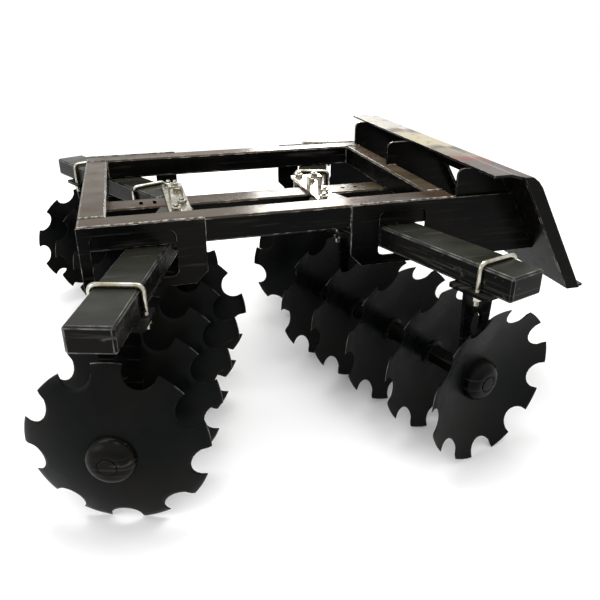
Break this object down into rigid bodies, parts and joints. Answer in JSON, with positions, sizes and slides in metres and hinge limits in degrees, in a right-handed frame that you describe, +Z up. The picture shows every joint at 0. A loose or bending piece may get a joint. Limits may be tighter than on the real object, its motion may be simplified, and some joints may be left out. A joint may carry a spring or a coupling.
{
  "type": "tandem disc harrow loader attachment",
  "caption": "Tandem disc harrow for a loader: notched-disc gangs spin on axles under a welded frame with a quick-attach coupler plate.",
  "frame": {"origin": "on the ground under the middle of the overall box", "axes": "+X ahead towards the coupler plate, +Y to the left, +Z up"},
  "size_m": [1.9808, 2.038, 0.8249],
  "materials": {
    "black_paint": "gloss",
    "axle_paint": "satin",
    "disc_steel": "satin",
    "zinc_plate": "satin"
  },
  "bodies": {
    "frame": {"side_rail_right": "black_paint", "side_rail_left": "black_paint", "rear_cross_member": "black_paint", "front_cross_member": "black_paint", "centre_beam": "black_paint", "side_plate_front_right": "black_paint", "side_plate_front_left": "black_paint", "side_plate_rear_right": "black_paint", "side_plate_rear_left": "black_paint", "strap_plate_front": "zinc_plate", "strap_plate_rear": "zinc_plate", "coupler_hook": "black_paint", "coupler_plate": "black_paint", "coupler_ear_right": "black_paint", "coupler_ear_left": "black_paint", "gusset_right": "black_paint", "gusset_centre": "black_paint", "gusset_left": "black_paint", "gang_bar_front_right": "black_paint", "gang_bar_front_left": "black_paint", "gang_bar_rear_right": "black_paint", "gang_bar_rear_left": "black_paint", "bearing_hanger_front_right_outer": "black_paint", "bearing_hanger_front_right_inner": "black_paint", "bearing_hanger_front_left_outer": "black_paint", "bearing_hanger_front_left_inner": "black_paint", "bearing_hanger_rear_right_outer": "black_paint", "bearing_hanger_rear_right_inner": "black_paint", "bearing_hanger_rear_left_outer": "black_paint", "bearing_hanger_rear_left_inner": "black_paint"},
    "gang_front_right": {"gang_axle_front_right": "axle_paint", "disc_front_right_1": "disc_steel", "disc_front_right_2": "disc_steel", "disc_front_right_3": "disc_steel", "disc_front_right_4": "disc_steel", "disc_front_right_5": "disc_steel"},
    "gang_front_left": {"gang_axle_front_left": "axle_paint", "disc_front_left_1": "disc_steel", "disc_front_left_2": "disc_steel", "disc_front_left_3": "disc_steel", "disc_front_left_4": "disc_steel", "disc_front_left_5": "disc_steel"},
    "gang_rear_right": {"gang_axle_rear_right": "axle_paint", "disc_rear_right_1": "disc_steel", "disc_rear_right_2": "disc_steel", "disc_rear_right_3": "disc_steel", "disc_rear_right_4": "disc_steel", "disc_rear_right_5": "disc_steel"},
    "gang_rear_left": {"gang_axle_rear_left": "axle_paint", "disc_rear_left_1": "disc_steel", "disc_rear_left_2": "disc_steel", "disc_rear_left_3": "disc_steel", "disc_rear_left_4": "disc_steel", "disc_rear_left_5": "disc_steel"}
  },
  "joints": [
    {"name": "gang_front_right_spin", "type": "hinge", "parent": "frame", "child": "gang_front_right", "pos_m": [0.34819, -0.52826, 0.25044], "axis": [0.3173, -0.9483, 0], "continuous": true},
    {"name": "gang_front_left_spin", "type": "hinge", "parent": "frame", "child": "gang_front_left", "pos_m": [0.34819, 0.54007, 0.25044], "axis": [0.3173, 0.9483, 0], "continuous": true},
    {"name": "gang_rear_right_spin", "type": "hinge", "parent": "frame", "child": "gang_rear_right", "pos_m": [-0.50782, -0.53095, 0.25044], "axis": [-0.3007, -0.9537, 0], "continuous": true},
    {"name": "gang_rear_left_spin", "type": "hinge", "parent": "frame", "child": "gang_rear_left", "pos_m": [-0.58056, 0.51337, 0.25044], "axis": [-0.4462, 0.8949, 0], "continuous": true}
  ]
}
